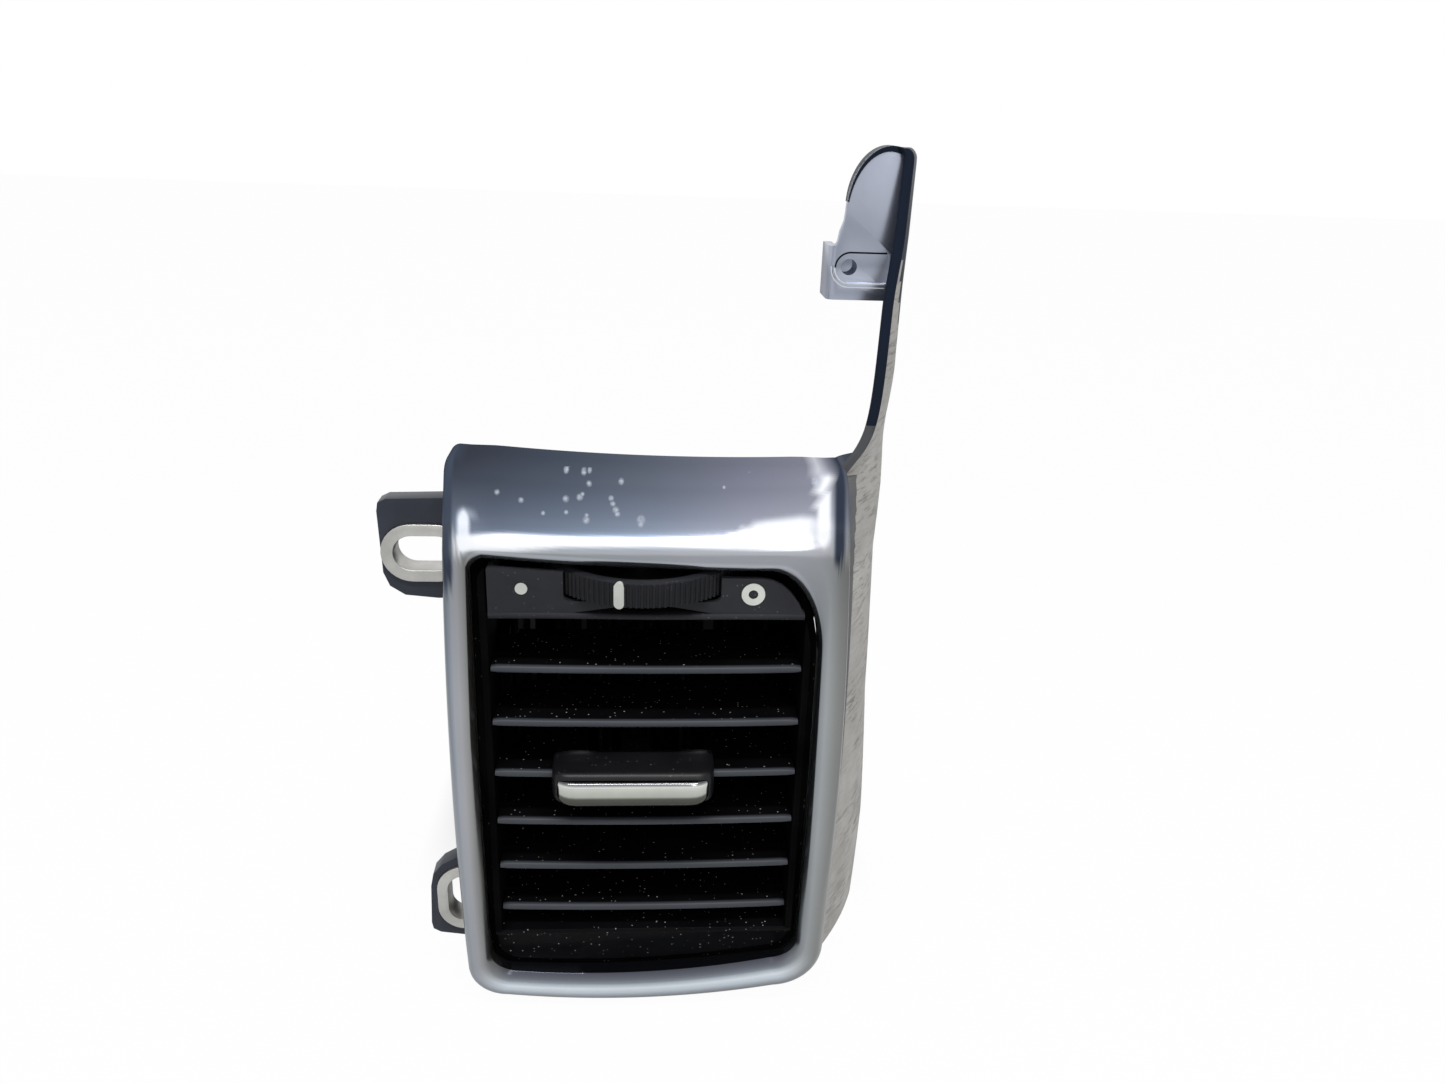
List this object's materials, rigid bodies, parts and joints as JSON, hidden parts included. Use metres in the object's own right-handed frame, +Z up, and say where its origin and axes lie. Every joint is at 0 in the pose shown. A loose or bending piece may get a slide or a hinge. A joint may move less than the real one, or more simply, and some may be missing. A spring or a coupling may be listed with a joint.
{
  "type": "center console air vent",
  "caption": "Portrait centre-console air vent: silver trim frame with a side arm, tilting blades, swivel vanes, sliding knob, and a thumbwheel that turns the damper.",
  "frame": {"origin": "middle of the housing's rear duct mouth", "axes": "+X to the right seen from the front, +Y back out of the rear mouth into the duct, +Z up; the face looks to -Y"},
  "size_m": [0.1271, 0.0964, 0.2272],
  "materials": {
    "silver_trim": "satin silver paint over a moulded plastic frame, worn along the brow",
    "housing_black": "fine-grained black moulding",
    "panel_black": "charcoal, lightly grained",
    "mark_white": "white print",
    "strip_black": "black moulding",
    "zinc": "zinc plated",
    "foam_black": "closed-cell foam",
    "blade_black": "black satin with a charcoal nose",
    "knob_black": "black satin",
    "knob_chrome": "bright strip",
    "pad_rubber": "soft friction pad",
    "vane_black": "black moulding",
    "wheel_black": "charcoal, ribbed",
    "damper_grey": "dark grey moulding",
    "rod_steel": "plain steel"
  },
  "bodies": {
    "base": {"trim_frame": "silver_trim", "side_arm": "silver_trim", "vent_housing": "housing_black", "mount_ears": "housing_black", "dial_panel": "panel_black", "dial_marks": "mark_white", "sill_panel": "panel_black", "pivot_strip_left": "strip_black", "pivot_strip_right": "strip_black", "ear_bush_upper": "zinc", "ear_bush_lower": "zinc", "housing_screws": "zinc", "neck_seal": "foam_black", "wheel_washer": "zinc", "wheel_retainer": "zinc"},
    "blade_1": {"blade_1": "blade_black"},
    "blade_2": {"blade_2": "blade_black"},
    "blade_3": {"blade_3": "blade_black"},
    "blade_4": {"blade_4": "blade_black"},
    "blade_5": {"blade_5": "blade_black"},
    "blade_6": {"blade_6": "blade_black"},
    "blade_link": {"blade_link": "blade_black"},
    "knob": {"knob_body": "knob_black", "knob_trim": "knob_chrome", "knob_pad": "pad_rubber"},
    "vane_1": {"vane_1": "vane_black"},
    "vane_2": {"vane_2": "vane_black"},
    "vane_3": {"vane_3": "vane_black"},
    "vane_4": {"vane_4": "vane_black"},
    "vane_5": {"vane_5": "vane_black"},
    "vane_6": {"vane_6": "vane_black"},
    "vane_7": {"vane_7": "vane_black"},
    "vane_link": {"vane_link": "vane_black"},
    "wheel": {"thumbwheel": "wheel_black", "wheel_pointer": "mark_white"},
    "damper": {"damper_flap": "damper_grey", "damper_seal": "foam_black", "damper_shaft": "rod_steel", "damper_lever": "damper_grey"},
    "damper_rod": {"damper_rod": "rod_steel"}
  },
  "joints": [
    {"name": "blade_tilt", "type": "hinge", "parent": "base", "child": "blade_3", "pos_m": [0, -0.08, -0.013], "axis": [1, 0, 0], "range_deg": [-20, 20]},
    {"name": "blade_1_tilt", "type": "hinge", "parent": "base", "child": "blade_1", "pos_m": [0, -0.07895, 0.016], "axis": [1, 0, 0], "range_deg": [-20.5, 20.5]},
    {"name": "blade_2_tilt", "type": "hinge", "parent": "base", "child": "blade_2", "pos_m": [0, -0.07974, 0.0015], "axis": [1, 0, 0], "range_deg": [-20.5, 20.5]},
    {"name": "blade_4_tilt", "type": "hinge", "parent": "base", "child": "blade_4", "pos_m": [0, -0.07974, -0.0275], "axis": [1, 0, 0], "range_deg": [-20.5, 20.5]},
    {"name": "blade_5_tilt", "type": "hinge", "parent": "base", "child": "blade_5", "pos_m": [0, -0.07895, -0.042], "axis": [1, 0, 0], "range_deg": [-20.5, 20.5]},
    {"name": "blade_6_tilt", "type": "hinge", "parent": "base", "child": "blade_6", "pos_m": [0, -0.07763, -0.0565], "axis": [1, 0, 0], "range_deg": [-20.5, 20.5]},
    {"name": "blade_link_swing", "type": "hinge", "parent": "blade_3", "child": "blade_link", "pos_m": [-0.03635, -0.07, -0.013], "axis": [1, 0, 0], "range_deg": [-20.5, 20.5]},
    {"name": "knob_slide", "type": "slide", "parent": "blade_3", "child": "knob", "axis": [1, 0, 0], "range_m": [-0.0054, 0.0117]},
    {"name": "vane_1_swivel", "type": "hinge", "parent": "base", "child": "vane_1", "pos_m": [-0.033, -0.055, -0.013], "axis": [0, 0, 1], "range_deg": [-21.8, 46.89]},
    {"name": "vane_2_swivel", "type": "hinge", "parent": "base", "child": "vane_2", "pos_m": [-0.022, -0.055, -0.013], "axis": [0, 0, 1], "range_deg": [-21.8, 46.89]},
    {"name": "vane_3_swivel", "type": "hinge", "parent": "base", "child": "vane_3", "pos_m": [-0.011, -0.055, -0.013], "axis": [0, 0, 1], "range_deg": [-21.8, 46.89]},
    {"name": "vane_4_swivel", "type": "hinge", "parent": "base", "child": "vane_4", "pos_m": [0, -0.055, -0.013], "axis": [0, 0, 1], "range_deg": [-21.8, 46.89]},
    {"name": "vane_5_swivel", "type": "hinge", "parent": "base", "child": "vane_5", "pos_m": [0.011, -0.055, -0.013], "axis": [0, 0, 1], "range_deg": [-21.8, 46.89]},
    {"name": "vane_6_swivel", "type": "hinge", "parent": "base", "child": "vane_6", "pos_m": [0.022, -0.055, -0.013], "axis": [0, 0, 1], "range_deg": [-21.8, 46.89]},
    {"name": "vane_7_swivel", "type": "hinge", "parent": "base", "child": "vane_7", "pos_m": [0.033, -0.055, -0.013], "axis": [0, 0, 1], "range_deg": [-21.8, 46.89]},
    {"name": "vane_link_swing", "type": "hinge", "parent": "vane_4", "child": "vane_link", "pos_m": [0.00128, -0.04914, -0.058], "axis": [0, 0, 1], "range_deg": [-46.89, 21.8]},
    {"name": "wheel_turn", "type": "hinge", "parent": "base", "child": "wheel", "pos_m": [-0.0013, -0.0686, 0.037], "axis": [0, 0, 1], "range_deg": [-25.5, 50.5]},
    {"name": "damper_turn", "type": "hinge", "parent": "base", "child": "damper", "pos_m": [0, -0.024, -0.013], "axis": [0, 0, 1], "range_deg": [-26, 51]},
    {"name": "damper_rod_swing", "type": "hinge", "parent": "wheel", "child": "damper_rod", "pos_m": [-0.01302, -0.066, 0.034], "axis": [0, 0, 1], "range_deg": [-51, 26]}
  ],
  "couplings": [
    {"joint": "blade_1_tilt", "follows": "blade_tilt", "ratio": 1},
    {"joint": "blade_2_tilt", "follows": "blade_tilt", "ratio": 1},
    {"joint": "blade_4_tilt", "follows": "blade_tilt", "ratio": 1},
    {"joint": "blade_5_tilt", "follows": "blade_tilt", "ratio": 1},
    {"joint": "blade_6_tilt", "follows": "blade_tilt", "ratio": 1},
    {"joint": "blade_link_swing", "follows": "blade_tilt", "ratio": -1},
    {"joint": "vane_1_swivel", "follows": "knob_slide", "rad_per_m": 69.5},
    {"joint": "vane_2_swivel", "follows": "knob_slide", "rad_per_m": 69.5},
    {"joint": "vane_3_swivel", "follows": "knob_slide", "rad_per_m": 69.5},
    {"joint": "vane_4_swivel", "follows": "knob_slide", "rad_per_m": 69.5},
    {"joint": "vane_5_swivel", "follows": "knob_slide", "rad_per_m": 69.5},
    {"joint": "vane_6_swivel", "follows": "knob_slide", "rad_per_m": 69.5},
    {"joint": "vane_7_swivel", "follows": "knob_slide", "rad_per_m": 69.5},
    {"joint": "vane_link_swing", "follows": "knob_slide", "rad_per_m": -69.5},
    {"joint": "damper_turn", "follows": "wheel_turn", "ratio": 1},
    {"joint": "damper_rod_swing", "follows": "wheel_turn", "ratio": -1}
  ]
}
